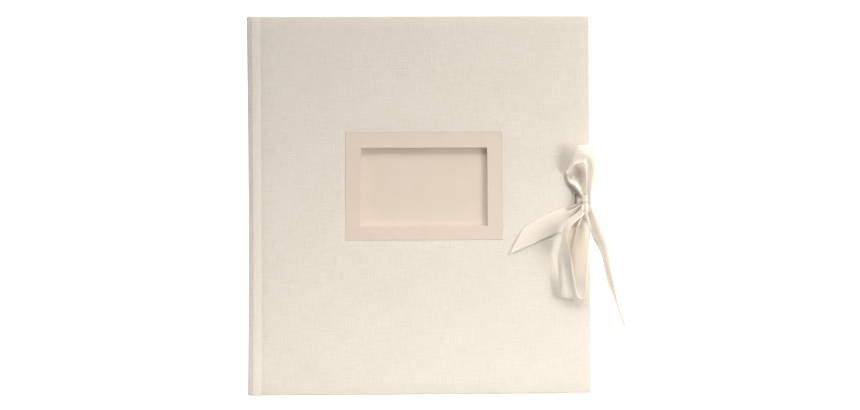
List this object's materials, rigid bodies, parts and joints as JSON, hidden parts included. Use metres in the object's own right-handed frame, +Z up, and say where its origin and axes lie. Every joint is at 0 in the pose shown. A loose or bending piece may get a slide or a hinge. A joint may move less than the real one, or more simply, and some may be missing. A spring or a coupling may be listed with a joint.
{
  "type": "scrapbook album",
  "caption": "Cloth-covered scrapbook album with a recessed photo window in its front cover, fanning mounting leaves and a satin ribbon tied in a bow at the fore-edge.",
  "frame": {"origin": "centre of the back cover's underside, which the album rests on", "axes": "+Z up through the closed album, +X from the spine to the fore-edge, +Y from the tail to the head"},
  "size_m": [0.3177, 0.32, 0.053],
  "materials": {
    "book_cloth": "matt linen book cloth",
    "board": "grey binder's board",
    "lining_paper": "uncoated",
    "leaf_card": "uncoated cream card",
    "glassine": "smooth translucent glassine",
    "mat_card": "smooth cream card",
    "satin_ribbon": "ivory satin"
  },
  "bodies": {
    "back_cover": {"back_cover_cloth": "book_cloth", "back_cover_board": "board", "back_pastedown": "lining_paper", "rear_ribbon_anchor": "satin_ribbon"},
    "rear_strand": {"rear_ribbon": "satin_ribbon"},
    "spine": {"spine_cloth": "book_cloth", "spine_board": "board", "spine_lining": "lining_paper", "bound_spine": "leaf_card", "head_band": "book_cloth", "tail_band": "book_cloth"},
    "front_cover": {"front_cover_cloth": "book_cloth", "front_cover_board": "board", "front_inner_board": "board", "window_mat": "mat_card", "photo_card": "mat_card", "front_pastedown": "lining_paper", "front_ribbon": "satin_ribbon", "bow_knot": "satin_ribbon", "bow_top_loop": "satin_ribbon", "bow_bottom_loop": "satin_ribbon", "bow_left_tail": "satin_ribbon", "bow_right_tail": "satin_ribbon"},
    "back_flyleaf": {"back_flyleaf": "leaf_card"},
    "leaf_01_sheet": {"leaf_01": "leaf_card", "interleaf_01": "glassine"},
    "leaf_02_sheet": {"leaf_02": "leaf_card", "interleaf_02": "glassine"},
    "leaf_03_sheet": {"leaf_03": "leaf_card", "interleaf_03": "glassine"},
    "leaf_04_sheet": {"leaf_04": "leaf_card", "interleaf_04": "glassine"},
    "leaf_05_sheet": {"leaf_05": "leaf_card", "interleaf_05": "glassine"},
    "leaf_06_sheet": {"leaf_06": "leaf_card", "interleaf_06": "glassine"},
    "leaf_07_sheet": {"leaf_07": "leaf_card", "interleaf_07": "glassine"},
    "leaf_08_sheet": {"leaf_08": "leaf_card", "interleaf_08": "glassine"},
    "leaf_09_sheet": {"leaf_09": "leaf_card", "interleaf_09": "glassine"},
    "leaf_10_sheet": {"leaf_10": "leaf_card", "interleaf_10": "glassine"},
    "leaf_11_sheet": {"leaf_11": "leaf_card", "interleaf_11": "glassine"},
    "leaf_12_sheet": {"leaf_12": "leaf_card", "interleaf_12": "glassine"},
    "leaf_13_sheet": {"leaf_13": "leaf_card", "interleaf_13": "glassine"},
    "leaf_14_sheet": {"leaf_14": "leaf_card", "interleaf_14": "glassine"},
    "leaf_15_sheet": {"leaf_15": "leaf_card", "interleaf_15": "glassine"},
    "leaf_16_sheet": {"leaf_16": "leaf_card", "interleaf_16": "glassine"},
    "front_flyleaf": {"front_flyleaf": "leaf_card"}
  },
  "joints": [
    {"name": "front_cover_hinge", "type": "hinge", "parent": "spine", "child": "front_cover", "pos_m": [-0.1425, 0, 0.0404], "axis": [0, -1, 0], "range_deg": [0, 89]},
    {"name": "spine_hinge", "type": "hinge", "parent": "back_cover", "child": "spine", "pos_m": [-0.1425, 0, 0.0025], "axis": [0, -1, 0], "range_deg": [0, 89]},
    {"name": "rear_ribbon_bend", "type": "hinge", "parent": "back_cover", "child": "rear_strand", "pos_m": [0.14565, 0, 0.0005], "axis": [0, 1, 0], "range_deg": [0, 88]},
    {"name": "back_flyleaf_hinge", "type": "hinge", "parent": "spine", "child": "back_flyleaf", "pos_m": [-0.138, 0, 0.005], "axis": [0, -1, 0], "range_deg": [-86.5, 0]},
    {"name": "leaf_01_hinge", "type": "hinge", "parent": "spine", "child": "leaf_01_sheet", "pos_m": [-0.138, 0, 0.0068], "axis": [0, -1, 0], "range_deg": [-83.1, 0]},
    {"name": "leaf_02_hinge", "type": "hinge", "parent": "spine", "child": "leaf_02_sheet", "pos_m": [-0.138, 0, 0.0086], "axis": [0, -1, 0], "range_deg": [-79.6, 0]},
    {"name": "leaf_03_hinge", "type": "hinge", "parent": "spine", "child": "leaf_03_sheet", "pos_m": [-0.138, 0, 0.0104], "axis": [0, -1, 0], "range_deg": [-76, 0]},
    {"name": "leaf_04_hinge", "type": "hinge", "parent": "spine", "child": "leaf_04_sheet", "pos_m": [-0.138, 0, 0.0122], "axis": [0, -1, 0], "range_deg": [-72.5, 0]},
    {"name": "leaf_05_hinge", "type": "hinge", "parent": "spine", "child": "leaf_05_sheet", "pos_m": [-0.138, 0, 0.014], "axis": [0, -1, 0], "range_deg": [-69.1, 0]},
    {"name": "leaf_06_hinge", "type": "hinge", "parent": "spine", "child": "leaf_06_sheet", "pos_m": [-0.138, 0, 0.0158], "axis": [0, -1, 0], "range_deg": [-65.6, 0]},
    {"name": "leaf_07_hinge", "type": "hinge", "parent": "spine", "child": "leaf_07_sheet", "pos_m": [-0.138, 0, 0.0176], "axis": [0, -1, 0], "range_deg": [-62, 0]},
    {"name": "leaf_08_hinge", "type": "hinge", "parent": "spine", "child": "leaf_08_sheet", "pos_m": [-0.138, 0, 0.0194], "axis": [0, -1, 0], "range_deg": [-58.5, 0]},
    {"name": "leaf_09_hinge", "type": "hinge", "parent": "spine", "child": "leaf_09_sheet", "pos_m": [-0.138, 0, 0.0212], "axis": [0, -1, 0], "range_deg": [0, 58.5]},
    {"name": "leaf_10_hinge", "type": "hinge", "parent": "spine", "child": "leaf_10_sheet", "pos_m": [-0.138, 0, 0.023], "axis": [0, -1, 0], "range_deg": [0, 62]},
    {"name": "leaf_11_hinge", "type": "hinge", "parent": "spine", "child": "leaf_11_sheet", "pos_m": [-0.138, 0, 0.0248], "axis": [0, -1, 0], "range_deg": [0, 65.6]},
    {"name": "leaf_12_hinge", "type": "hinge", "parent": "spine", "child": "leaf_12_sheet", "pos_m": [-0.138, 0, 0.0266], "axis": [0, -1, 0], "range_deg": [0, 69.1]},
    {"name": "leaf_13_hinge", "type": "hinge", "parent": "spine", "child": "leaf_13_sheet", "pos_m": [-0.138, 0, 0.0284], "axis": [0, -1, 0], "range_deg": [0, 72.5]},
    {"name": "leaf_14_hinge", "type": "hinge", "parent": "spine", "child": "leaf_14_sheet", "pos_m": [-0.138, 0, 0.0302], "axis": [0, -1, 0], "range_deg": [0, 76]},
    {"name": "leaf_15_hinge", "type": "hinge", "parent": "spine", "child": "leaf_15_sheet", "pos_m": [-0.138, 0, 0.032], "axis": [0, -1, 0], "range_deg": [0, 79.6]},
    {"name": "leaf_16_hinge", "type": "hinge", "parent": "spine", "child": "leaf_16_sheet", "pos_m": [-0.138, 0, 0.0338], "axis": [0, -1, 0], "range_deg": [0, 83.1]},
    {"name": "front_flyleaf_hinge", "type": "hinge", "parent": "spine", "child": "front_flyleaf", "pos_m": [-0.138, 0, 0.0356], "axis": [0, -1, 0], "range_deg": [0, 86.5]}
  ],
  "couplings": [
    {"joint": "spine_hinge", "follows": "front_cover_hinge", "ratio": 1},
    {"joint": "back_flyleaf_hinge", "follows": "front_cover_hinge", "ratio": -0.9719},
    {"joint": "leaf_01_hinge", "follows": "front_cover_hinge", "ratio": -0.9326},
    {"joint": "leaf_02_hinge", "follows": "front_cover_hinge", "ratio": -0.8933},
    {"joint": "leaf_03_hinge", "follows": "front_cover_hinge", "ratio": -0.8539},
    {"joint": "leaf_04_hinge", "follows": "front_cover_hinge", "ratio": -0.8146},
    {"joint": "leaf_05_hinge", "follows": "front_cover_hinge", "ratio": -0.7753},
    {"joint": "leaf_06_hinge", "follows": "front_cover_hinge", "ratio": -0.736},
    {"joint": "leaf_07_hinge", "follows": "front_cover_hinge", "ratio": -0.6966},
    {"joint": "leaf_08_hinge", "follows": "front_cover_hinge", "ratio": -0.6573},
    {"joint": "leaf_09_hinge", "follows": "front_cover_hinge", "ratio": 0.6573},
    {"joint": "leaf_10_hinge", "follows": "front_cover_hinge", "ratio": 0.6966},
    {"joint": "leaf_11_hinge", "follows": "front_cover_hinge", "ratio": 0.736},
    {"joint": "leaf_12_hinge", "follows": "front_cover_hinge", "ratio": 0.7753},
    {"joint": "leaf_13_hinge", "follows": "front_cover_hinge", "ratio": 0.8146},
    {"joint": "leaf_14_hinge", "follows": "front_cover_hinge", "ratio": 0.8539},
    {"joint": "leaf_15_hinge", "follows": "front_cover_hinge", "ratio": 0.8933},
    {"joint": "leaf_16_hinge", "follows": "front_cover_hinge", "ratio": 0.9326},
    {"joint": "front_flyleaf_hinge", "follows": "front_cover_hinge", "ratio": 0.9719}
  ]
}
